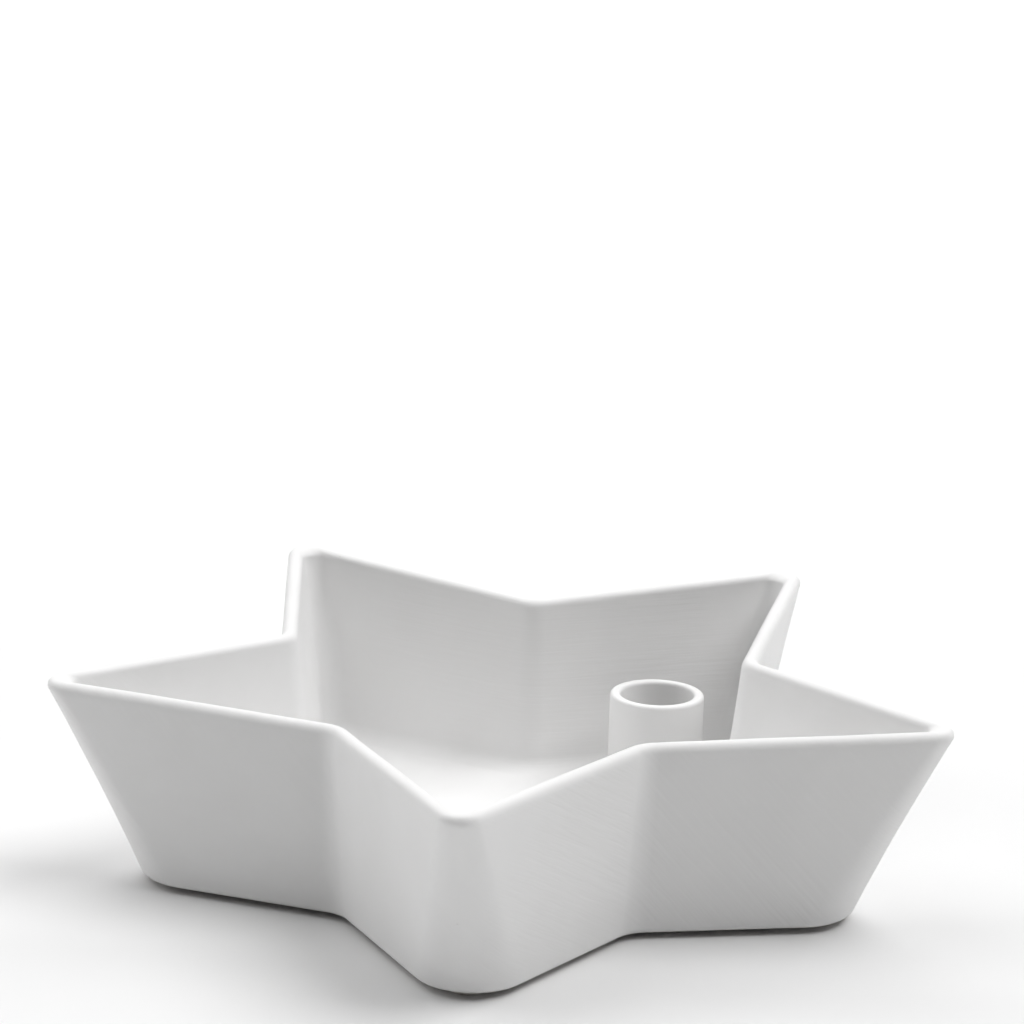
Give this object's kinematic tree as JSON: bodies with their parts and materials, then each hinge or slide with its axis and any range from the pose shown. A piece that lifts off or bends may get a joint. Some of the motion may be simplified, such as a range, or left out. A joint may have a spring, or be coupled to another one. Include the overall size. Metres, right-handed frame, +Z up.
{
  "type": "candle bowl",
  "caption": "Star-shaped white ceramic candle bowl with leaning walls, a soft round rim and an upright round socket for a dinner candle, on felt pads.",
  "frame": {"origin": "middle of the bowl's bounding box, on the surface that the felt pads stand on", "axes": "+Z up out of the bowl; -Y towards the leading point of the star; +X to the right seen from the front"},
  "size_m": [0.2652, 0.2528, 0.0643],
  "materials": {
    "ceramic": "matt white, faintly brushed",
    "socket_ceramic": "matt white, smooth",
    "felt": "pressed wool felt"
  },
  "bodies": {
    "root": {"star_bowl": "ceramic", "candle_socket": "socket_ceramic", "felt_pad_front": "felt", "felt_pad_right_front": "felt", "felt_pad_right_back": "felt", "felt_pad_left_back": "felt", "felt_pad_left_front": "felt"}
  },
  "joints": []
}
